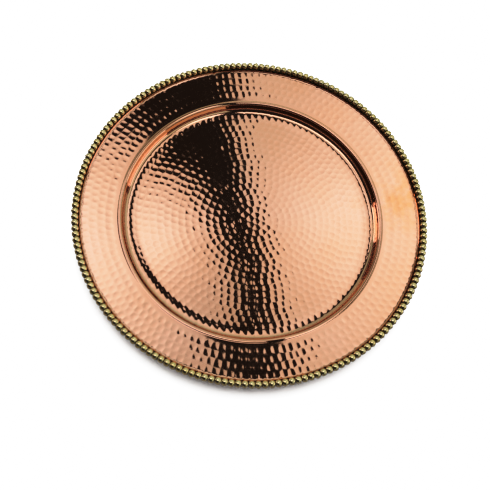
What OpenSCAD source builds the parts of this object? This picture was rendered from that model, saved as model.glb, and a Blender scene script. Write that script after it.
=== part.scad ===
// Round hammered copper tray with a beaded brass border.
// Frame: +Z up, origin at the centre of the floor's underside, which rests on the table.

/* [Tray] */
// Diameter over the outside of the beads
overall_d = 330; // [300:1:360]
// Thickness of the copper sheet
sheet_t = 1; // [0.8:0.1:1.4]
// Diameter of the flat middle of the floor
flat_d = 209; // [180:1:214]
// Radius of the gentle upturn round the flat middle
ease_r = 75; // [50:1:90]
// Slope of the upturn where it meets the cove, in degrees
ease_angle = 7.6; // [4:0.1:10]
// Radius of the cove between upturn and well wall
cove_r = 5.8; // [4:0.1:7]
// Steepness of the well wall, in degrees from the flat floor
wall_angle = 75; // [60:1:80]
// Length of the straight part of the well wall, up its slope
wall_l = 3.2; // [3:0.1:8]

/* [Rim] */
// Radius of the rounded ridge at the top of the well wall
ridge_r = 2.6; // [1.5:0.1:3]
// Fall of the ridge's outer side, in degrees
ridge_fall = 25; // [10:1:40]
// Radius of the crease between ridge and rim
crease_r = 1.5; // [1:0.1:3]
// Upward slope of the rim, in degrees
rim_slope = 4.3; // [2:0.1:8]
// Radius of the bend that turns the rim up into its lip
lip_r = 2; // [1.6:0.1:3]
// Steepness of the lip at its edge, in degrees
lip_angle = 75; // [60:1:85]

/* [Border] */
// Diameter of a bead, across its hole
bead_d = 6.7; // [6:0.1:7.4]
// Length of a bead, along its hole
bead_l = 5.3; // [4.6:0.1:5.4]
// Spacing of the beads along the core wire, which settles how many there are
bead_pitch = 5.73; // [5.7:0.01:8]
// Height of the beads' centres above the edge of the lip
bead_rise = 2.1; // [1.6:0.1:2.4]
// Diameter of the core wire
wire_d = 2; // [1.4:0.1:2.4]
// Clearance all round the wire in a bead's hole
hole_gap = 0.05; // [0.04:0.01:0.1]
// Space that the solder fills between lip and beads
solder_gap = 0.25; // [0.15:0.05:0.4]

/* [Hidden] */

copper = "#d9946c";
brass = "#b9973f";
solder = "#6b6152";

round_fn = 180;
bead_fn = 40;
hole_fn = 24;
arc_step = 10;
arc_min_count = 3;

// Points along an arc about a centre, evenly spaced and with both ends exact
function arc(centre, radius, from, to) =
    let (count = max(arc_min_count, ceil(abs(to - from) / arc_step)))
    [for (i = [0 : count])
        let (a = from + (to - from) * i / count)
        centre + radius * [cos(a), sin(a)]];

// Point at a distance and an angle from another
function step(point, length, angle) = point + length * [cos(angle), sin(angle)];

// The sheet's inner face in section, from floor to lip: each bend's centre and the angles it spans
ease_c = [flat_d / 2, sheet_t + ease_r];
ease_end = step(ease_c, ease_r, ease_angle - 90);
cove_c = step(ease_end, cove_r, ease_angle + 90);
cove_end = step(cove_c, cove_r, wall_angle - 90);
wall_end = step(cove_end, wall_l, wall_angle);
ridge_c = step(wall_end, ridge_r, wall_angle - 90);
ridge_end = step(ridge_c, ridge_r, 90 - ridge_fall);
crease_c = step(ridge_end, crease_r, 90 - ridge_fall);
crease_end = step(crease_c, crease_r, rim_slope - 90);

// The border's place: its beads reach the overall diameter and stand clear of the lip's outside
bead_ring_r = (overall_d - bead_d) / 2;
bead_reach = sqrt(pow(bead_d / 2, 2) - pow(bead_rise, 2));
lip_edge_r = bead_ring_r - bead_reach - solder_gap - sheet_t * sin(lip_angle);
lip_run = lip_r * (sin(lip_angle) - sin(rim_slope));
rim_l = (lip_edge_r - lip_run - crease_end[0]) / cos(rim_slope);
rim_end = step(crease_end, rim_l, rim_slope);
lip_c = step(rim_end, lip_r, rim_slope + 90);
lip_edge = step(lip_c, lip_r, lip_angle - 90);
bead_c = [bead_ring_r, lip_edge[1] + bead_rise];
bead_count = floor(2 * PI * bead_ring_r / bead_pitch);

// The solder's hollow side, between two angles about a bead's centre; its flats just touch the beads
solder_top = 218;
solder_foot = 255;
solder_facets = 4;
solder_turn = (solder_foot - solder_top) / solder_facets;
solder_r = bead_d / 2 / cos(solder_turn / 2);

// The lip's section at a depth below its inner face, from the rim to its edge
function lip_side(depth) = arc(lip_c, lip_r + depth, rim_slope - 90, lip_angle - 90);

// One whole side of the sheet's section, at that depth
function sheet_side(depth) = concat(
    [[0, sheet_t - depth]],
    arc(ease_c, ease_r + depth, -90, ease_angle - 90),
    arc(cove_c, cove_r + depth, ease_angle - 90, wall_angle - 90),
    arc(ridge_c, ridge_r - depth, wall_angle + 90, 90 - ridge_fall),
    arc(crease_c, crease_r + depth, -90 - ridge_fall, rim_slope - 90),
    lip_side(depth)
);

// A list from its last item to its first
function reversed(list) = [for (i = [len(list) - 1 : -1 : 0]) list[i]];

// Copper sheet, one piece from the middle of the floor to the edge of the lip
module tray_body() {
    color(copper)
        rotate_extrude($fn = round_fn)
            polygon(concat(sheet_side(0), reversed(sheet_side(sheet_t))));
}

// Brass wire ring that the beads are threaded on
module border_wire() {
    color(brass)
        rotate_extrude($fn = round_fn)
            translate(bead_c)
                circle(d = wire_d, $fn = hole_fn);
}

// One drilled bead, a ball with flattened ends, its hole along Y
module bead() {
    difference() {
        intersection() {
            sphere(d = bead_d, $fn = bead_fn);
            cube([2 * bead_d, bead_l, 2 * bead_d], center = true);
        }
        rotate([90, 0, 0])
            cylinder(h = bead_d, d = wire_d + 2 * hole_gap, center = true, $fn = hole_fn);
    }
}

// Ring of brass beads
module border_beads() {
    color(brass)
        for (i = [0 : bead_count - 1])
            rotate([0, 0, i * 360 / bead_count])
                translate([bead_c[0], 0, bead_c[1]])
                    bead();
}

// Solder fillet between the last facets of the lip's outside and the beads' undersides
module solder_seam() {
    lip_points = lip_side(sheet_t);
    last = len(lip_points) - 1;
    color(solder)
        rotate_extrude($fn = round_fn)
            polygon(concat(
                [for (i = [last - solder_facets : last]) lip_points[i]],
                [for (i = [0 : solder_facets]) step(bead_c, solder_r, solder_top + i * solder_turn)]
            ));
}

tray_body();
border_wire();
border_beads();
solder_seam();
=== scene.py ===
"""Hammered copper tray with a beaded brass border, lying on a pale studio floor. Metres, +Z up."""
import math

import bpy
import numpy as np
from mathutils import Matrix, Vector
from mathutils.geometry import delaunay_2d_cdt


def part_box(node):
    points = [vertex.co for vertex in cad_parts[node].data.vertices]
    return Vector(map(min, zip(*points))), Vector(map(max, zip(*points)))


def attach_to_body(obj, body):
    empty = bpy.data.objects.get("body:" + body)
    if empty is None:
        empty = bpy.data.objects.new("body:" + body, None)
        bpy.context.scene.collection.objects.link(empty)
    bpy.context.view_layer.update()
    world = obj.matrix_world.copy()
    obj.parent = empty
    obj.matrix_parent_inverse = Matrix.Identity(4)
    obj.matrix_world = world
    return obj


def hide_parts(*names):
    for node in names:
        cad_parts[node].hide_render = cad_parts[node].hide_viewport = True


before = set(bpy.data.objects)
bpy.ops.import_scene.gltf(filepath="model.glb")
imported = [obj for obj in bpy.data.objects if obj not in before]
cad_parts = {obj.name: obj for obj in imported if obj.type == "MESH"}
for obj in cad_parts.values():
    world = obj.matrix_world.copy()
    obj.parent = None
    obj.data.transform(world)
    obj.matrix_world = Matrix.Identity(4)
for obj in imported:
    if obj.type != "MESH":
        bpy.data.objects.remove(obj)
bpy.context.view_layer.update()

MM = 0.001
rng = np.random.default_rng(7)

# Sizes read from the frame
WIRE_LOW, WIRE_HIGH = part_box("border_wire")
BEADS_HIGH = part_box("border_beads")[1]
BODY_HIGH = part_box("tray_body")[1]
BORDER_Z = (WIRE_HIGH.z + WIRE_LOW.z) / 2
WIRE_R = (WIRE_HIGH.z - WIRE_LOW.z) / 2
BORDER_R = WIRE_HIGH.x - WIRE_R
BEAD_R = BEADS_HIGH.x - BORDER_R

# The sheet's section, from the middle of the floor to the edge of the lip
SHEET_T = 1.0 * MM
FLAT_R = 104.5 * MM
EASE_R = 75 * MM
EASE_ANGLE = math.radians(7.6)
COVE_R = 5.8 * MM
WALL_ANGLE = math.radians(75)
WALL_L = 3.2 * MM
RIDGE_R = 2.6 * MM
RIDGE_FALL = math.radians(25)
CREASE_R = 1.5 * MM
RIM_SLOPE = math.radians(4.3)
LIP_R = 2 * MM
LIP_ANGLE = math.radians(75)
LIP_EDGE_R = BODY_HIGH.x - SHEET_T * math.sin(LIP_ANGLE)

# The hammer marks: a mark's cell of mesh reaches MARK_R, its bowl DENT_R
MARK_R = 3.9 * MM
DENT_R = 3.35 * MM
BOWL_R = 72 * MM
CREST_ROUNDING = 0.02 * MM
FLOOR_RINGS = 18
FLOOR_MARKS_R = 112 * MM
FLOOR_MARK_GAP = 6.6 * MM
FLOOR_MARKS_SHIFT = Vector((5.5 * MM, -2 * MM))
RIM_RINGS = 4
RIM_MARKS_FROM = 131.2 * MM
RIM_MARKS_TO = 153.3 * MM
RIM_MARK_GAP = 6.5 * MM
MARK_SCATTER = 0.3 * MM
MARK_SIZE_SPREAD = 0.035
BOWL_SPREAD = (0.8, 1.3)
MARKS_REACH = 3.2 * MM
FADE = 1.5 * MM
# The underside has this share of the marks' depth, and of the lift that keeps it over the table
UNDERSIDE_MARKS = 0.3
UNDERSIDE_LIFT = 0.3 * MM

# How finely the sheet is meshed: rings within each mark, the least spacings, and the plain rings
CREST_INSETS = (0.4 * MM, 0.95 * MM)
CORE_SHARE = 0.4
CORNER_MERGE = 0.5 * MM
LEAST_REACH = 0.2
RING_CLEAR = 0.6 * MM
RING_GAP = 0.2 * MM
ROUND_COUNT = 360
# Steps of mesh on each stretch of the section, on the face and on the underside
FACE_STEPS = (1, 4, 12, 2, 13, 5, 1, 11)
UNDERSIDE_STEPS = (1, 2, 7, 1, 7, 3, 1, 6)

# The beads on their wire
BEAD_L = 5.3 * MM
BEAD_PITCH = 5.73 * MM
BEAD_COUNT = int(2 * math.pi * BORDER_R / BEAD_PITCH)
HOLE_R = 1.05 * MM
HOLE_CHAMFER = 0.22 * MM
BEAD_TILT = 0.02
BEAD_SIZE_SPREAD = 0.006
# Share of a bead's half length from which its ends are darkened: painted shade where the beads meet,
# with some real grime by the hole
HOLE_SHADE_FROM = 0.84


# ---------------------------------------------------------------- the sheet's section

def bend(radius, turn):
    """A bent stretch of the section: its length and how far it turns, upward as positive."""
    return radius * abs(turn), turn


def section_stretches():
    """Every stretch of the section in order, the rim's length being what reaches the lip's edge."""
    before = [
        (FLAT_R, 0),
        bend(EASE_R, EASE_ANGLE),
        bend(COVE_R, WALL_ANGLE - EASE_ANGLE),
        (WALL_L, 0),
        bend(RIDGE_R, -WALL_ANGLE - RIDGE_FALL),
        bend(CREASE_R, RIDGE_FALL + RIM_SLOPE),
    ]
    reach = walk(before)[-1][1]
    lip_run = LIP_R * (math.sin(LIP_ANGLE) - math.sin(RIM_SLOPE))
    rim_l = (LIP_EDGE_R - lip_run - reach) / math.cos(RIM_SLOPE)
    return before + [(rim_l, 0), bend(LIP_R, LIP_ANGLE - RIM_SLOPE)]


def walk(stretches):
    """Distance along, radius, height, heading and curvature where each stretch starts."""
    run, radius, height, heading = 0.0, 0.0, SHEET_T, 0.0
    starts = []
    for length, turn in stretches:
        curve = turn / length
        starts.append((run, radius, height, heading, curve))
        if curve:
            radius += (math.sin(heading + turn) - math.sin(heading)) / curve
            height -= (math.cos(heading + turn) - math.cos(heading)) / curve
        else:
            radius += length * math.cos(heading)
            height += length * math.sin(heading)
        heading += turn
        run += length
    starts.append((run, radius, height, heading, 0.0))
    return starts


STARTS = np.array(walk(section_stretches()))
RUNS = STARTS[:, 0]
COVE_RUN = RUNS[2]
WALL_TOP_RUN = RUNS[4]
LIP_EDGE_RUN = RUNS[-1]


def section(run):
    """Radius, height and heading of the section at distances along it."""
    at = np.clip(np.searchsorted(RUNS, run, side="right") - 1, 0, len(RUNS) - 2)
    start, radius, height, heading, curve = STARTS[at].T
    step = run - start
    new = heading + curve * step
    bent = np.abs(curve) > 0
    safe = np.where(bent, curve, 1)
    r = radius + np.where(bent, (np.sin(new) - np.sin(heading)) / safe, step * np.cos(heading))
    z = height + np.where(bent, (np.cos(heading) - np.cos(new)) / safe, step * np.sin(heading))
    return r, z, new


RUN_TABLE = np.linspace(0, LIP_EDGE_RUN, 20001)
RADIUS_TABLE = section(RUN_TABLE)[0]


def run_at(radius):
    """Distance along the section at a radius."""
    return np.interp(radius, RADIUS_TABLE, RUN_TABLE)


# ---------------------------------------------------------------- hammer marks

def mark_ring(radius, centre, gap, phase):
    """Centres of one ring of marks, each a little off its place."""
    count = max(1, round(2 * math.pi * radius / gap))
    turn = phase + 2 * math.pi * np.arange(count) / count
    ring = np.stack([np.cos(turn), np.sin(turn)], 1) * radius + np.array(centre)
    return ring + rng.normal(0, MARK_SCATTER, ring.shape)


def floor_marks():
    """Rings of marks on the floor, whose centre drifts off the tray's towards the middle."""
    rings = [np.array([FLOOR_MARKS_SHIFT])]
    for k in range(1, FLOOR_RINGS + 1):
        share = k / FLOOR_RINGS
        rings.append(mark_ring(
            share * FLOOR_MARKS_R, FLOOR_MARKS_SHIFT * (1 - share ** 2),
            FLOOR_MARK_GAP, rng.uniform(0, 2 * math.pi),
        ))
    return rings


def rim_marks():
    """Rings of marks on the rim."""
    radii = np.linspace(RIM_MARKS_FROM, RIM_MARKS_TO, RIM_RINGS)
    return [mark_ring(r, (0, 0), RIM_MARK_GAP, rng.uniform(0, 2 * math.pi)) for r in radii]


FLOOR_MARKS = floor_marks()
RIM_MARKS = rim_marks()
MARKS = np.concatenate(FLOOR_MARKS + RIM_MARKS)
MARK_RADII = DENT_R * rng.normal(1, MARK_SIZE_SPREAD, len(MARKS))
BOWL_RADII = BOWL_R * rng.uniform(*BOWL_SPREAD, len(MARKS))


# How many points are worked out at a time
BATCH = 2000


def hammered(points):
    """Height of the hammered face over the plain sheet, its slope in plan, and its share of a crest."""
    height = np.zeros(len(points))
    slope = np.zeros((len(points), 2))
    crest = np.zeros(len(points))
    for start in range(0, len(points), BATCH):
        part = slice(start, start + BATCH)
        away = points[part, None, :] - MARKS[None, :, :]
        bowl = ((away ** 2).sum(2) - MARK_RADII ** 2) / (2 * BOWL_RADII)
        low = np.minimum(bowl.min(1), 0)
        weight = np.exp((low[:, None] - bowl) / CREST_ROUNDING)
        plain = np.exp(low / CREST_ROUNDING)
        total = weight.sum(1) + plain
        height[part] = low - CREST_ROUNDING * np.log(total)
        slope[part] = (weight[:, :, None] * away / BOWL_RADII[None, :, None]).sum(1) / total[:, None]
        crest[part] = 1 - np.maximum(weight.max(1), plain) / total
    return height, slope, 2 * crest


# ---------------------------------------------------------------- one side of the sheet

class Skin:
    """One side of the sheet: its faces, and each vertex's distance along the section and its angle."""

    def __init__(self):
        self.run = []
        self.turn = []
        self.faces = []

    def add(self, run, turn):
        self.run.append(run)
        self.turn.append(turn)
        return len(self.run) - 1

    def add_plan(self, point):
        return self.add(float(run_at(math.hypot(*point))), math.atan2(point[1], point[0]))

    def ring(self, run, count):
        return [self.add(run, -math.pi + 2 * math.pi * (i + 0.5) / count) for i in range(count)]

    def bridge(self, inner, outer):
        """Faces between two closed loops round the axis, each in order of angle."""
        a, b = 0, 0
        while a < len(inner) or b < len(outer):
            next_a = self.turn[inner[a % len(inner)]] + 2 * math.pi * (a // len(inner))
            next_b = self.turn[outer[b % len(outer)]] + 2 * math.pi * (b // len(outer))
            if a < len(inner) and (b >= len(outer) or next_a <= next_b):
                self.faces.append((inner[a], outer[b % len(outer)], inner[(a + 1) % len(inner)]))
                a += 1
            else:
                self.faces.append((outer[b], outer[(b + 1) % len(outer)], inner[a % len(inner)]))
                b += 1

    def rings(self, first, runs, count):
        """Rings of quads outward from a loop. Returns the last ring."""
        last = self.ring(runs[0], count)
        self.bridge(first, last)
        for run in runs[1:]:
            new = self.ring(run, count)
            for i in range(count):
                j = (i + 1) % count
                self.faces.append((last[i], new[i], new[j], last[j]))
            last = new
        return last


def cell_corners(centres):
    """Points where three marks meet, and for each mark the corners round it."""
    points = [Vector(c) for c in centres]
    _, _, triangles, _, _, _ = delaunay_2d_cdt(points, [], [], 0, 1e-9)
    corners = []
    around = [[] for _ in centres]
    for index, (i, j, k) in enumerate(triangles):
        a, b, c = centres[i], centres[j], centres[k]
        ab, ac = b - a, c - a
        cross = 2 * (ab[0] * ac[1] - ab[1] * ac[0])
        ab2, ac2 = ab @ ab, ac @ ac
        corners.append(a + np.array([ac[1] * ab2 - ab[1] * ac2, ab[0] * ac2 - ac[0] * ab2]) / cross)
        for m in (i, j, k):
            around[m].append(index)
    return np.array(corners), around


def merged(corners, around, limit):
    """Corners closer than the limit become one. Returns the corner that stands for each."""
    same = list(range(len(corners)))

    def root(i):
        while same[i] != i:
            i = same[i]
        return i

    for ring in around:
        for i in ring:
            for j in ring:
                if i < j and np.hypot(*(corners[i] - corners[j])) < limit:
                    same[root(j)] = root(i)
    return [root(i) for i in range(len(corners))]


def hammer_zone(skin, rings, inward, fine):
    """Adds the cells of some rings of marks to a skin. Returns its inner and outer edge loops."""
    real = np.concatenate(rings)
    outer = rings[-1]
    guards = [outer * (1 + 2 * MARK_R / np.hypot(*outer.T)[:, None])]
    if inward:
        guards.append(rings[0] * (1 - 2 * MARK_R / np.hypot(*rings[0].T)[:, None]))
    centres = np.concatenate([real] + guards)
    corners, around = cell_corners(centres)
    around = around[:len(real)]
    stands = merged(corners, around, CORNER_MERGE)
    polygons = []
    for m, ring in enumerate(around):
        unique = sorted(set(stands[i] for i in ring))
        rel = corners[unique] - real[m]
        order = np.argsort(np.arctan2(rel[:, 1], rel[:, 0]))
        polygons.append([unique[i] for i in order])
    owners = {}
    touching = {}
    for m, polygon in enumerate(polygons):
        for i, corner in enumerate(polygon):
            pair = tuple(sorted((corner, polygon[(i + 1) % len(polygon)])))
            owners.setdefault(pair, []).append(m)
            touching.setdefault(corner, []).append(m)
    edge_corners = {c for pair, ms in owners.items() if len(ms) == 1 for c in pair}

    def pulled(point, ms):
        """An edge point drawn in to the round outline of its mark or marks."""
        anchor = real[ms].mean(0)
        half = np.hypot(*(real[ms[0]] - anchor))
        reach = math.sqrt(max(MARK_R ** 2 - half ** 2, (LEAST_REACH * MARK_R) ** 2))
        away = point - anchor
        length = np.hypot(*away)
        return anchor + away * min(1, reach / length)

    corner_vertex = {}
    for corner, ms in touching.items():
        place = corners[corner]
        if corner in edge_corners and len(ms) <= 2:
            place = pulled(place, ms)
        corner_vertex[corner] = (skin.add_plan(place), place)
    between = {}
    loops = ([], [])
    for pair, ms in owners.items():
        a, b = (corner_vertex[c][1] for c in pair)
        if len(ms) == 1:
            ra, rb = corners[pair[0]], corners[pair[1]]
            places = [pulled(ra + (rb - ra) * t, ms) for t in (0.25, 0.5, 0.75)]
        else:
            places = [(a + b) / 2]
        if not fine:
            places = places[1:2] if len(ms) == 1 else []
        between[pair] = [(skin.add_plan(p), p) for p in places]
        if len(ms) == 1:
            outside = np.hypot(*((a + b) / 2)) > np.hypot(*real[ms[0]])
            loops[1 if outside else 0].extend(
                [corner_vertex[c][0] for c in pair] + [v for v, _ in between[pair]]
            )
    for m, polygon in enumerate(polygons):
        border = []
        for i, corner in enumerate(polygon):
            nxt = polygon[(i + 1) % len(polygon)]
            pair = tuple(sorted((corner, nxt)))
            mids = between[pair] if pair[0] == corner else between[pair][::-1]
            border.append(corner_vertex[corner])
            border.extend(mids)
        fill_cell(skin, real[m], border, fine)
    return [sorted(set(loop), key=lambda v: skin.turn[v]) for loop in loops]


def fill_cell(skin, centre, border, fine):
    """Faces of one mark, from its border in to its middle."""
    middle = skin.add_plan(centre)
    loop = [v for v, _ in border]
    if fine:
        for inset in CREST_INSETS + (None,):
            new = []
            for _, place in border:
                away = place - centre
                length = np.hypot(*away)
                keep = CORE_SHARE if inset is None else 1 - inset / length
                new.append(skin.add_plan(centre + away * keep))
            for i in range(len(loop)):
                j = (i + 1) % len(loop)
                skin.faces.append((loop[i], loop[j], new[j], new[i]))
            loop = new
    for i in range(len(loop)):
        skin.faces.append((loop[i], loop[(i + 1) % len(loop)], middle))


def spread(stretch_steps, start, end):
    """Distances along the section between two, with a number of steps on each stretch."""
    runs = [start]
    for (a, b), steps in zip(zip(RUNS[:-1], RUNS[1:]), stretch_steps):
        for i in range(1, steps + 1):
            run = a + (b - a) * i / steps
            if start + RING_GAP < run < end - RING_GAP:
                runs.append(run)
    return runs + [end]


def sheet_side(fine):
    """One side of the sheet, the hammered one fine and the underside coarser."""
    skin = Skin()
    steps = FACE_STEPS if fine else UNDERSIDE_STEPS
    count = ROUND_COUNT if fine else ROUND_COUNT // 2
    _, floor_edge = hammer_zone(skin, FLOOR_MARKS, False, fine)
    first = max(skin.run[v] for v in floor_edge) + RING_CLEAR
    rim_in, rim_out = hammer_zone(skin, RIM_MARKS, True, fine)
    last = min(skin.run[v] for v in rim_in) - RING_CLEAR
    ring = skin.rings(floor_edge, spread(steps, first, last), count)
    skin.bridge(ring, rim_in)
    lip_first = max(skin.run[v] for v in rim_out) + RING_CLEAR / 2
    edge = skin.rings(rim_out, spread(steps, lip_first, LIP_EDGE_RUN), ROUND_COUNT)
    return skin, edge


FLOOR_FADE_R = FLOOR_MARKS_R + MARKS_REACH
RIM_FADE_R = RIM_MARKS_TO + MARKS_REACH


def mark_strength(radius):
    """Share of the hammer marks' depth, fading out where the cove and the lip begin."""
    floor = np.clip((FLOOR_FADE_R + FADE - radius) / FADE, 0, 1)
    rim = np.clip((RIM_FADE_R + FADE - radius) / FADE, 0, 1) * (radius > RIM_MARKS_FROM - 2 * MARK_R)
    return np.maximum(floor, rim)


# Height of each slow wave in the sheet, its turns of angle a metre along X and Y, and its phase
WAVES = ((0.05 * MM, 41, 23, 0.4), (0.04 * MM, -29, 47, 2.1), (0.03 * MM, 63, -38, 4.0))


def waviness(x, y):
    """Slow unevenness of the sheet, and its slope."""
    height = np.zeros_like(x)
    dx = np.zeros_like(x)
    dy = np.zeros_like(x)
    for size, u, v, phase in WAVES:
        angle = u * x + v * y + phase
        height += size * np.sin(angle)
        dx += size * u * np.cos(angle)
        dy += size * v * np.cos(angle)
    return height, dx, dy


# To one side of the tray the floor starts to rise a little earlier, with this extra slope
UPTURN_SLOPE = 0.045
UPTURN_AT = math.radians(232)
UPTURN_SPREAD = math.radians(48)
UPTURN_RADII = (100 * MM, 104.5 * MM, 113.5 * MM, 116 * MM)
UPTURN_TABLE_R = np.linspace(0, 0.18, 3601)
UPTURN_TABLE_SLOPE = UPTURN_SLOPE * np.interp(UPTURN_TABLE_R, UPTURN_RADII, (0, 1, 1, 0))
UPTURN_TABLE_RISE = np.cumsum(UPTURN_TABLE_SLOPE) * (UPTURN_TABLE_R[1] - UPTURN_TABLE_R[0])


def early_upturn(run, radius, turn):
    """Extra height of the floor's edge to one side, gone again at the top of the wall, and its slope."""
    off = np.abs((turn - UPTURN_AT + math.pi) % (2 * math.pi) - math.pi)
    side = np.where(off < UPTURN_SPREAD, np.cos(off / UPTURN_SPREAD * math.pi / 2) ** 2, 0)
    keep = np.clip((WALL_TOP_RUN - run) / (WALL_TOP_RUN - COVE_RUN), 0, 1)
    rise = np.interp(radius, UPTURN_TABLE_R, UPTURN_TABLE_RISE)
    slope = np.interp(radius, UPTURN_TABLE_R, UPTURN_TABLE_SLOPE)
    return rise * side * keep, slope * side


def placed(skin, depth, marks):
    """The skin's vertices in space at a depth under the sheet's face, their normals and their crests."""
    run, turn = np.array(skin.run), np.array(skin.turn)
    r, z, heading = section(run)
    cos, sin = np.cos(turn), np.sin(turn)
    plan = np.stack([r * cos, r * sin], 1)
    height, slope, crest = hammered(plan)
    share = mark_strength(r) * marks
    height = height * share
    slope = slope * share[:, None]
    wave, wave_x, wave_y = waviness(*plan.T)
    rise, rise_slope = early_upturn(run, r, turn)
    along = (slope[:, 0] + wave_x) * cos + (slope[:, 1] + wave_y) * sin
    across = -(slope[:, 0] + wave_x) * sin + (slope[:, 1] + wave_y) * cos
    along = (along + rise_slope) * np.cos(heading)
    up_r, up_z = -np.sin(heading), np.cos(heading)
    lift = height + wave * share + rise - depth
    if depth:
        lift += UNDERSIDE_LIFT * marks * (share > 0)
    new_r, new_z = r + lift * up_r, z + lift * up_z
    n_r = up_r - along * np.cos(heading)
    n_z = up_z - along * np.sin(heading)
    vertices = np.stack([new_r * cos, new_r * sin, new_z], 1)
    normals = np.stack([n_r * cos + across * sin, n_r * sin - across * cos, n_z], 1)
    normals /= np.linalg.norm(normals, axis=1)[:, None]
    return vertices, normals, crest * share


# ---------------------------------------------------------------- mesh helpers

def make_object(name, vertices, faces, material, normals=None, **attributes):
    """A smooth mesh object with the given material, and optional normals and vertex attributes."""
    mesh = bpy.data.meshes.new(name)
    mesh.from_pydata(np.asarray(vertices).tolist(), [], [list(map(int, f)) for f in faces])
    mesh.polygons.foreach_set("use_smooth", [True] * len(mesh.polygons))
    for key, values in attributes.items():
        layer = mesh.attributes.new(key, "FLOAT", "POINT")
        layer.data.foreach_set("value", np.asarray(values, np.float32))
    if normals is not None:
        mesh.normals_split_custom_set_from_vertices(normals.tolist())
    mesh.materials.append(material)
    mesh.update()
    obj = bpy.data.objects.new(name, mesh)
    bpy.context.scene.collection.objects.link(obj)
    return obj


def ring_faces(rows, columns):
    """Quads of a closed grid whose rows and columns both wrap round."""
    j, i = np.meshgrid(np.arange(rows), np.arange(columns), indexing="ij")
    k, n = (j + 1) % rows, (i + 1) % columns
    corners = [j * columns + i, j * columns + n, k * columns + n, k * columns + i]
    return np.stack([c.ravel() for c in corners], 1)


def swept_ring(section_at, count, points):
    """A closed ring round the axis. section_at gives radii and heights of the section at an angle."""
    vertices = []
    for i in range(count):
        turn = 2 * math.pi * i / count
        vertices += [(r * math.cos(turn), r * math.sin(turn), z) for r, z in section_at(turn)]
    return vertices, ring_faces(count, points)


# ---------------------------------------------------------------- materials

class Nodes:
    """A material being built, with short calls for the nodes used here."""

    def __init__(self, name):
        self.material = bpy.data.materials.new(name)
        self.material.use_nodes = True
        self.tree = self.material.node_tree
        self.shader = self.tree.nodes["Principled BSDF"]
        self.place = self.tree.nodes.new("ShaderNodeTexCoord").outputs["Object"]

    def node(self, kind, inputs=(), **settings):
        node = self.tree.nodes.new(kind)
        for key, value in settings.items():
            setattr(node, key, value)
        for key, value in dict(inputs).items():
            if isinstance(value, bpy.types.NodeSocket):
                self.tree.links.new(value, node.inputs[key])
            else:
                node.inputs[key].default_value = value
        return node

    def noise(self, scale, detail=3.0, rough=0.5, vector=None):
        return self.node("ShaderNodeTexNoise", {
            "Vector": vector or self.place, "Scale": scale, "Detail": detail, "Roughness": rough,
        }).outputs["Fac"]

    def remap(self, value, low, high, to_low=0.0, to_high=1.0):
        return self.node("ShaderNodeMapRange", {
            0: value, 1: low, 2: high, 3: to_low, 4: to_high,
        }).outputs[0]

    def mix(self, share, a, b):
        return self.node("ShaderNodeMix", {0: share, 6: a, 7: b}, data_type="RGBA").outputs[2]

    def math(self, operation, a, b=0.0):
        return self.node("ShaderNodeMath", {0: a, 1: b}, operation=operation).outputs[0]

    def attribute(self, name):
        return self.node("ShaderNodeAttribute", attribute_name=name).outputs["Fac"]

    def bump(self, height, strength, distance):
        return self.node("ShaderNodeBump", {
            "Height": height, "Strength": strength, "Distance": distance,
        }).outputs["Normal"]

    def distance(self, point):
        node = self.node("ShaderNodeVectorMath", {0: self.place, 1: point}, operation="DISTANCE")
        return node.outputs["Value"]

    def finish(self, **sockets):
        for key, value in sockets.items():
            socket = self.shader.inputs[key.replace("_", " ")]
            if isinstance(value, bpy.types.NodeSocket):
                self.tree.links.new(value, socket)
            else:
                socket.default_value = value
        return self.material


def polish_lines(nodes, scale):
    """Fine lines that run round the tray, as a polishing wheel leaves."""
    parts = nodes.node("ShaderNodeSeparateXYZ", {0: nodes.place}).outputs
    squares = nodes.math("ADD", nodes.math("POWER", parts[0], 2.0), nodes.math("POWER", parts[1], 2.0))
    radius = nodes.math("SQRT", squares)
    turn = nodes.math("ARCTAN2", parts[1], parts[0])
    spread_out = nodes.node("ShaderNodeCombineXYZ", {
        0: nodes.math("MULTIPLY", radius, scale),
        1: nodes.math("MULTIPLY", turn, 6.0),
        2: nodes.math("MULTIPLY", parts[2], scale),
    }).outputs[0]
    return nodes.noise(1.0, 4.0, 0.6, spread_out)


# A patch of the rim has toned to orange, full within the first distance and gone at the second
TARNISH_AT = (0.135, 0.045, 0.013)
TARNISH_FULL = 0.012
TARNISH_REACH = 0.05
TARNISH_SHARE = 0.75


def copper_material():
    """Polished copper with warm clouds, faint polishing lines and brighter crests."""
    n = Nodes("hammered_copper")
    clouds = n.remap(n.noise(9, 3, 0.55), 0.35, 0.68)
    colour = n.mix(clouds, (0.965, 0.605, 0.50, 1), (0.95, 0.55, 0.40, 1))
    lines = polish_lines(n, 900)
    crest = n.attribute("crest")
    colour = n.mix(n.math("MULTIPLY", crest, 0.35), colour, (0.97, 0.66, 0.55, 1))
    near = n.remap(n.distance(TARNISH_AT), TARNISH_FULL, TARNISH_REACH, TARNISH_SHARE, 0.0)
    spots = n.remap(n.noise(45, 4, 0.6), 0.4, 0.62)
    colour = n.mix(n.math("MULTIPLY", near, spots), colour, (0.93, 0.47, 0.23, 1))
    smear = n.noise(60, 4, 0.6)
    rough = n.remap(smear, 0.3, 0.75, 0.025, 0.07)
    rough = n.math("ADD", rough, n.remap(lines, 0.45, 0.8, 0.0, 0.03))
    return n.finish(
        Base_Color=colour, Metallic=1.0, Roughness=rough,
        Normal=n.bump(lines, 0.04, 0.00005),
    )


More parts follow.
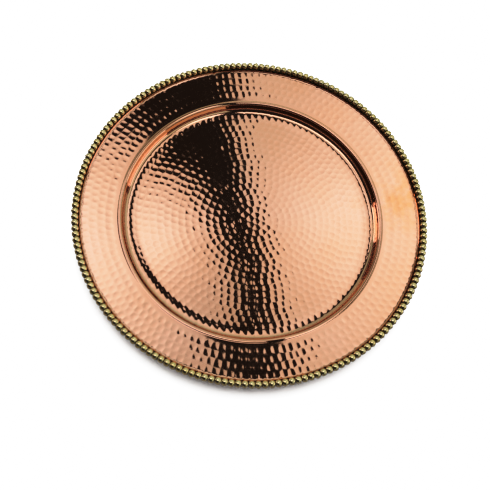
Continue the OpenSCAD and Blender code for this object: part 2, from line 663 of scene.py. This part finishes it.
def brass_material(name, shaded_ends):
    """Polished yellow brass with dark tarnish spots. On the beads the ends by the hole are darker,
    partly from real grime and partly from painted shade where each bead faces the next. On the wire the
    dark grime is random.
    """
    n = Nodes(name)
    clouds = n.remap(n.noise(55, 3, 0.5), 0.35, 0.7)
    colour = n.mix(clouds, (1.0, 0.86, 0.60, 1), (0.98, 0.80, 0.48, 1))
    spots = n.remap(n.noise(900, 4, 0.65), 0.55, 0.8, 0, 0.6)
    # On the beads an attribute darkens the ends by the hole: painted shade between beads, with some real
    # grime. On the wire the grime is random
    dirt = n.attribute("dirt") if shaded_ends else n.remap(n.noise(240, 2, 0.5), 0.4, 0.8)
    dark = n.math("MAXIMUM", dirt, n.math("MULTIPLY", spots, 0.4))
    # The near-black mixed in: painted shade at the beads' ends, with real grime and tarnish spots
    colour = n.mix(dark, colour, (0.09, 0.055, 0.022, 1))
    rough = n.remap(dark, 0, 1, 0.13, 0.5)
    return n.finish(
        Base_Color=colour, Metallic=1.0, Roughness=rough,
        Normal=n.bump(n.noise(1500, 3, 0.6), 0.08, 0.00004),
    )


def solder_material():
    """Grey-brown solder, dull and a little pitted."""
    n = Nodes("aged_solder")
    clouds = n.remap(n.noise(320, 4, 0.6), 0.3, 0.75)
    colour = n.mix(clouds, (0.10, 0.07, 0.045, 1), (0.20, 0.15, 0.09, 1))
    pits = n.noise(1800, 4, 0.7)
    rough = n.remap(pits, 0.3, 0.8, 0.35, 0.7)
    return n.finish(
        Base_Color=colour, Metallic=1.0, Roughness=rough, Normal=n.bump(pits, 0.35, 0.0001),
    )


# ---------------------------------------------------------------- pieces

def build_tray():
    """The hammered copper sheet: its face, its underside and its rounded edge."""
    face, face_edge = sheet_side(True)
    under, under_edge = sheet_side(False)
    top, top_normals, top_crest = placed(face, 0, 1)
    low, low_normals, _ = placed(under, SHEET_T, UNDERSIDE_MARKS)
    offset = len(top)
    faces = list(face.faces)
    faces += [tuple(v + offset for v in reversed(f)) for f in under.faces]
    count = len(face_edge)
    for i in range(count):
        j = (i + 1) % count
        faces.append((face_edge[i], under_edge[i] + offset, under_edge[j] + offset, face_edge[j]))
    vertices = np.concatenate([top, low])
    normals = np.concatenate([top_normals, -low_normals])
    crest = np.concatenate([top_crest, np.zeros(len(low))])
    return make_object("hammered_tray", vertices, faces, copper_material(), normals, crest=crest)


def bead_profile():
    """A bead's outline in section, closed, as distances along and away from its hole's axis."""
    half = BEAD_L / 2
    end = math.acos(half / BEAD_R)
    outer_steps = 14
    points = []
    for i in range(outer_steps + 1):
        a = end + (math.pi - 2 * end) * i / outer_steps
        points.append((-BEAD_R * math.cos(a), BEAD_R * math.sin(a)))
    points.append((half, HOLE_R + 1.5 * HOLE_CHAMFER))
    points.append((half - HOLE_CHAMFER, HOLE_R))
    points.append((HOLE_CHAMFER - half, HOLE_R))
    points.append((-half, HOLE_R + 1.5 * HOLE_CHAMFER))
    return np.array(points)


def build_beads():
    """Brass beads round the rim, each turned on a lathe and threaded on the wire."""
    profile = bead_profile()
    around = 24
    spin = 2 * math.pi * np.arange(around) / around
    along, away = (profile[:, i, None] * np.ones(around) for i in (0, 1))
    bead = np.stack([away * np.cos(spin), along, away * np.sin(spin)], 2).reshape(-1, 3)
    # Darkness along each bead: painted shade at the ends where it faces the next bead, with some real
    # grime by the hole
    bead_dirt = np.repeat([hole_shade_and_grime(a) for a, _ in profile], around)
    bead_faces = ring_faces(len(profile), around)
    vertices, faces = [], []
    for b in range(BEAD_COUNT):
        turn = 2 * math.pi * b / BEAD_COUNT
        tilt = rng.normal(0, BEAD_TILT, 2)
        pose = Matrix.Rotation(turn + tilt[1], 3, "Z") @ Matrix.Rotation(tilt[0], 3, "X")
        spot = (BORDER_R * math.cos(turn), BORDER_R * math.sin(turn), BORDER_Z)
        size = 1 - abs(rng.normal(0, BEAD_SIZE_SPREAD))
        vertices.append(size * bead @ np.array(pose).T + np.array(spot))
        faces.append(bead_faces + b * len(bead))
    dirt = np.tile(bead_dirt, BEAD_COUNT)
    return make_object(
        "brass_beads", np.concatenate(vertices), np.concatenate(faces),
        brass_material("polished_brass", True), dirt=dirt,
    )


def hole_shade_and_grime(along):
    """How dark a bead is painted at a distance along its axis: clean round the belly, dark by the hole,
    partly real grime and partly painted shade where it faces the next bead.
    """
    share = (2 * abs(along) / BEAD_L - HOLE_SHADE_FROM) / (1 - HOLE_SHADE_FROM)
    return min(1.0, max(0.0, share))


def build_wire():
    """The wire that the beads are threaded on."""
    points = 16

    def section_at(turn):
        spin = [2 * math.pi * j / points for j in range(points)]
        return [(BORDER_R + WIRE_R * math.cos(a), BORDER_Z + WIRE_R * math.sin(a)) for a in spin]

    vertices, faces = swept_ring(section_at, ROUND_COUNT, points)
    return make_object("core_wire", vertices, faces, brass_material("drawn_brass", False))


# The solder's outer side as angles about the beads' centres, its distance from them at a bead and
# between two, and how sharply it draws up
SOLDER_ANGLES = (254, 241, 227, 214)
SOLDER_AT_BEAD = 3.1 * MM
SOLDER_BETWEEN = 1.3 * MM
SOLDER_DRAW = 0.7
# How deep it beds into the lip, and where along the lip's outside it lies, back from the edge
SOLDER_BED = 0.3 * MM
SOLDER_RUNS = (0.1 * MM, 0.5 * MM, 0.95 * MM, 1.4 * MM)
SOLDER_STEPS = 8


def build_solder():
    """The solder between lip and beads, drawn up between the beads as it set."""
    r, z, heading = section(LIP_EDGE_RUN - np.array(SOLDER_RUNS))
    bed = SHEET_T - SOLDER_BED
    lip_side = list(zip(r + bed * np.sin(heading), z - bed * np.cos(heading)))

    def section_at(turn):
        between = (1 - math.cos(BEAD_COUNT * turn)) / 2
        depth = SOLDER_AT_BEAD + (SOLDER_BETWEEN - SOLDER_AT_BEAD) * between ** SOLDER_DRAW
        outer = []
        for angle in map(math.radians, SOLDER_ANGLES):
            outer.append((BORDER_R + depth * math.cos(angle), BORDER_Z + depth * math.sin(angle)))
        return lip_side + outer

    points = len(SOLDER_RUNS) + len(SOLDER_ANGLES)
    vertices, faces = swept_ring(section_at, BEAD_COUNT * SOLDER_STEPS, points)
    return make_object("lip_solder", vertices, faces, solder_material())


# ---------------------------------------------------------------- stage, lights and camera

# Colours of the panels where they are bright and dim, of the low ones and of those at the sides
BRIGHT_TINT = (1, 0.985, 0.96, 1)
DIM_TINT = (1, 1, 0.84, 1)
LOW_TINT = (0.88, 1, 0.78, 1)
SIDE_TINT = (1, 0.98, 0.9, 1)

PANEL_Z = 1.0
LOW_PANEL_R = 2.5


def glowing(name, bright, dim, spot, reach, tints):
    """A light panel's material, brightest at a spot and dimmer at a distance from it."""
    material = bpy.data.materials.new(name)
    material.use_nodes = True
    tree = material.node_tree
    tree.nodes.clear()
    place = tree.nodes.new("ShaderNodeNewGeometry")
    away = tree.nodes.new("ShaderNodeVectorMath")
    away.operation = "DISTANCE"
    away.inputs[1].default_value = spot
    fall = tree.nodes.new("ShaderNodeMapRange")
    fall.interpolation_type = "SMOOTHSTEP"
    for index, value in ((1, 0.0), (2, reach), (3, bright), (4, dim)):
        fall.inputs[index].default_value = value
    glow = tree.nodes.new("ShaderNodeEmission")
    tint = tree.nodes.new("ShaderNodeMix")
    tint.data_type = "RGBA"
    tint.inputs[6].default_value = tints[0]
    tint.inputs[7].default_value = tints[1]
    share = tree.nodes.new("ShaderNodeMath")
    share.operation = "DIVIDE"
    share.use_clamp = True
    share.inputs[1].default_value = reach
    tree.links.new(away.outputs["Value"], share.inputs[0])
    tree.links.new(share.outputs[0], tint.inputs[0])
    tree.links.new(tint.outputs[2], glow.inputs["Color"])
    out = tree.nodes.new("ShaderNodeOutputMaterial")
    tree.links.new(place.outputs["Position"], away.inputs[0])
    tree.links.new(away.outputs["Value"], fall.inputs[0])
    tree.links.new(fall.outputs[0], glow.inputs["Strength"])
    tree.links.new(glow.outputs[0], out.inputs[0])
    return material


def panel(name, vertices, faces, material):
    """A light panel, which the camera doesn't see."""
    mesh = bpy.data.meshes.new(name)
    mesh.from_pydata(vertices, [], faces)
    mesh.materials.append(material)
    obj = bpy.data.objects.new(name, mesh)
    obj.visible_camera = False
    obj.visible_diffuse = False
    bpy.context.scene.collection.objects.link(obj)


def overhead(name, outline, bright, dim, spot, reach):
    """A flat panel over the tray, bright at a spot in plan and dim a reach away from it."""
    corners = [(x, y, PANEL_Z) for x, y in outline]
    glow = glowing(name, bright, dim, (*spot, PANEL_Z), reach, (BRIGHT_TINT, DIM_TINT))
    panel(name, corners, [tuple(range(len(corners)))], glow)


def low_panel(name, sides, heights, strength, tint):
    """A curved panel far round the tray, from one side to another and one height to another, in degrees.

    Sides are counted from +Y towards +X, and heights from the horizon.
    """
    steps = 12
    vertices = []
    for i in range(steps + 1):
        side = math.radians(sides[0] + (sides[1] - sides[0]) * i / steps)
        for height in heights:
            rise = math.radians(height)
            flat = LOW_PANEL_R * math.cos(rise)
            vertices.append((flat * math.sin(side), flat * math.cos(side), LOW_PANEL_R * math.sin(rise)))
    faces = [(2 * i, 2 * i + 1, 2 * i + 3, 2 * i + 2) for i in range(steps)]
    even = glowing(name, strength, strength, (0, 0, 0), 1, (tint, tint))
    panel(name, vertices, faces, even)


def build_lights():
    """Big soft panels overhead with a dark gap between them, and low ones behind the tray and beside."""
    left = [
        (-0.155, 0.538), (-0.075, 0.43), (-0.006, 0.30), (0.016, 0.21), (0.11, 0.05),
        (-0.52, 0.05), (-0.52, 0.56), (-0.34, 0.555),
    ]
    right = [(-0.105, 0.745), (0.100, 0.245), (0.187, 0.05), (0.45, 0.05), (0.45, 1.1), (-0.22, 1.1)]
    near_left = [(0.11, 0.05), (0.24, -0.30), (-0.75, -0.30), (-0.75, 0.05)]
    near_right = [(0.187, 0.05), (0.65, 0.05), (0.65, -0.30), (0.34, -0.30)]
    lamp = [(-0.54, 0.05), (-0.75, 0.05), (-0.75, 0.56), (-0.54, 0.56)]
    overhead("left_panel", left, 1.28, 0.68, (-0.24, 0.36), 0.26)
    overhead("right_panel", right, 1.28, 0.80, (0.28, 0.53), 0.36)
    overhead("near_left_panel", near_left, 1.9, 1.4, (-0.3, -0.1), 0.6)
    overhead("near_right_panel", near_right, 1.9, 1.4, (0.4, -0.1), 0.6)
    overhead("lamp_panel", lamp, 1.5, 1.1, (-0.65, 0.3), 0.4)
    low_panel("left_low_panel", (-70, -14), (20, 47), 0.5, LOW_TINT)
    low_panel("right_low_panel", (-14, 147), (20, 47), 0.75, LOW_TINT)
    low_panel("far_low_panel", (-45, 62), (2, 20), 0.55, LOW_TINT)
    low_panel("left_side_panel", (-84, -64), (3, 26), 1.7, SIDE_TINT)
    low_panel("right_side_panel", (66, 104), (3, 20), 1.4, SIDE_TINT)


# What the metal mirrors beyond the panels: a faint glow at the horizon, dark from a height up
HORIZON_GLOW = 0.22
DARK = 0.035
DARK_FROM = 0.35
# What lights the floor: a broad bright patch of sky, as cosines of the angle off its middle
SKY_LIGHT_FROM = (0, 0.4, 0.92)
SKY_EDGE = 0.6
SKY_FULL = 0.95
SKY_BRIGHT = 9.5
SKY_DIM = 0.2


def build_world():
    """White for the camera and the floor, dark with a faint glow at the horizon for reflections."""
    world = bpy.data.worlds.new("studio")
    bpy.context.scene.world = world
    world.use_nodes = True
    tree = world.node_tree
    tree.nodes.clear()
    path = tree.nodes.new("ShaderNodeLightPath")
    direction = tree.nodes.new("ShaderNodeTexCoord")
    parts = tree.nodes.new("ShaderNodeSeparateXYZ")
    rise = tree.nodes.new("ShaderNodeMapRange")
    rise.interpolation_type = "SMOOTHSTEP"
    for index, value in ((1, 0.0), (2, DARK_FROM), (3, HORIZON_GLOW), (4, DARK)):
        rise.inputs[index].default_value = value
    dark = tree.nodes.new("ShaderNodeBackground")
    dark.inputs["Color"].default_value = (1, 0.9, 0.8, 1)
    toward = tree.nodes.new("ShaderNodeVectorMath")
    toward.operation = "DOT_PRODUCT"
    toward.inputs[1].default_value = SKY_LIGHT_FROM
    sky = tree.nodes.new("ShaderNodeMapRange")
    sky.interpolation_type = "SMOOTHSTEP"
    for index, value in ((1, SKY_EDGE), (2, SKY_FULL), (3, SKY_DIM), (4, SKY_BRIGHT)):
        sky.inputs[index].default_value = value
    seen = tree.nodes.new("ShaderNodeMath")
    seen.operation = "MULTIPLY_ADD"
    seen.inputs[1].default_value = SKY_BRIGHT
    white = tree.nodes.new("ShaderNodeBackground")
    tree.links.new(direction.outputs["Generated"], toward.inputs[0])
    tree.links.new(toward.outputs["Value"], sky.inputs[0])
    tree.links.new(path.outputs["Is Camera Ray"], seen.inputs[0])
    tree.links.new(sky.outputs[0], seen.inputs[2])
    tree.links.new(seen.outputs[0], white.inputs["Strength"])
    mix = tree.nodes.new("ShaderNodeMixShader")
    out = tree.nodes.new("ShaderNodeOutputWorld")
    tree.links.new(direction.outputs["Generated"], parts.inputs[0])
    tree.links.new(parts.outputs["Z"], rise.inputs[0])
    tree.links.new(rise.outputs[0], dark.inputs["Strength"])
    tree.links.new(path.outputs["Is Glossy Ray"], mix.inputs[0])
    tree.links.new(white.outputs[0], mix.inputs[1])
    tree.links.new(dark.outputs[0], mix.inputs[2])
    tree.links.new(mix.outputs[0], out.inputs[0])
    world.cycles.sampling_method = "NONE"


FLOOR_IN_REFLECTIONS = 0.28
FLOOR_REACH = 6.0


def build_floor():
    """A pale floor that reads white in the light, and dim where the metal reflects it."""
    material = bpy.data.materials.new("pale_floor")
    material.use_nodes = True
    tree = material.node_tree
    shader = tree.nodes["Principled BSDF"]
    shader.inputs["Base Color"].default_value = (0.9, 0.9, 0.9, 1)
    shader.inputs["Roughness"].default_value = 0.9
    shader.inputs["Specular IOR Level"].default_value = 0.0
    path = tree.nodes.new("ShaderNodeLightPath")
    dim = tree.nodes.new("ShaderNodeEmission")
    dim.inputs["Strength"].default_value = FLOOR_IN_REFLECTIONS
    mix = tree.nodes.new("ShaderNodeMixShader")
    tree.links.new(path.outputs["Is Glossy Ray"], mix.inputs[0])
    tree.links.new(shader.outputs[0], mix.inputs[1])
    tree.links.new(dim.outputs[0], mix.inputs[2])
    tree.links.new(mix.outputs[0], tree.nodes["Material Output"].inputs[0])
    far = FLOOR_REACH
    corners = [(-far, -far, 0), (far, -far, 0), (far, far, 0), (-far, far, 0)]
    mesh = bpy.data.meshes.new("studio_floor")
    mesh.from_pydata(corners, [], [(0, 1, 2, 3)])
    mesh.materials.append(material)
    obj = bpy.data.objects.new("studio_floor", mesh)
    bpy.context.scene.collection.objects.link(obj)


# A print's tone curve: scene brightness against displayed brightness, both linear
TONES = (
    (0, 0), (0.1, 0.034), (0.25, 0.13), (0.5, 0.36), (0.75, 0.645), (1.0, 0.87), (1.3, 0.97), (2.0, 1.0),
)


def set_tones():
    """Standard colour, with the contrast of a studio print."""
    view = bpy.context.scene.view_settings
    view.view_transform = "Standard"
    view.use_curve_mapping = True
    mapping = view.curve_mapping
    mapping.extend = "HORIZONTAL"
    brightest = TONES[-1][0]
    mapping.white_level = (brightest,) * 3
    curve = mapping.curves[3]
    for x, y in TONES[1:-1]:
        curve.points.new(x / brightest, y)
    mapping.update()


# The camera's place and aim, as shares of the tray's radius
TRAY_R = 165 * MM
CAMERA_DISTANCE = 4.25 * TRAY_R
CAMERA_ELEVATION = math.radians(64.12)
CAMERA_ROLL = math.radians(12.0)
CAMERA_AIM = Vector((-0.0005 * TRAY_R, -0.2112 * TRAY_R, BORDER_Z))
CAMERA_LENS = 55.6


def build_camera():
    """The camera in front of and above the tray, rolled a little."""
    back = Vector((0, -math.cos(CAMERA_ELEVATION), math.sin(CAMERA_ELEVATION)))
    place = Vector((0, 0, BORDER_Z)) + back * CAMERA_DISTANCE
    forward = (CAMERA_AIM - place).normalized()
    level = forward.cross(Vector((0, 0, 1))).normalized()
    upright = level.cross(forward)
    right = level * math.cos(CAMERA_ROLL) + upright * math.sin(CAMERA_ROLL)
    up = upright * math.cos(CAMERA_ROLL) - level * math.sin(CAMERA_ROLL)
    data = bpy.data.cameras.new("camera")
    data.sensor_width = 36
    data.lens = CAMERA_LENS
    camera = bpy.data.objects.new("camera", data)
    camera.matrix_world = Matrix((
        (right.x, up.x, -forward.x, place.x),
        (right.y, up.y, -forward.y, place.y),
        (right.z, up.z, -forward.z, place.z),
        (0, 0, 0, 1),
    ))
    bpy.context.scene.collection.objects.link(camera)
    bpy.context.scene.camera = camera


def attach(piece, material_slot, *nodes):
    """Fixes a piece to the tray's one body, in place of the CAD nodes it shows."""
    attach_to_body(piece, "root")
    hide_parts(*nodes)


build_camera()
build_world()
build_floor()
build_lights()
attach(build_tray(), "copper", "tray_body")
attach(build_beads(), "brass_beads", "border_beads")
attach(build_wire(), "brass_wire", "border_wire")
attach(build_solder(), "solder", "solder_seam")
set_tones()
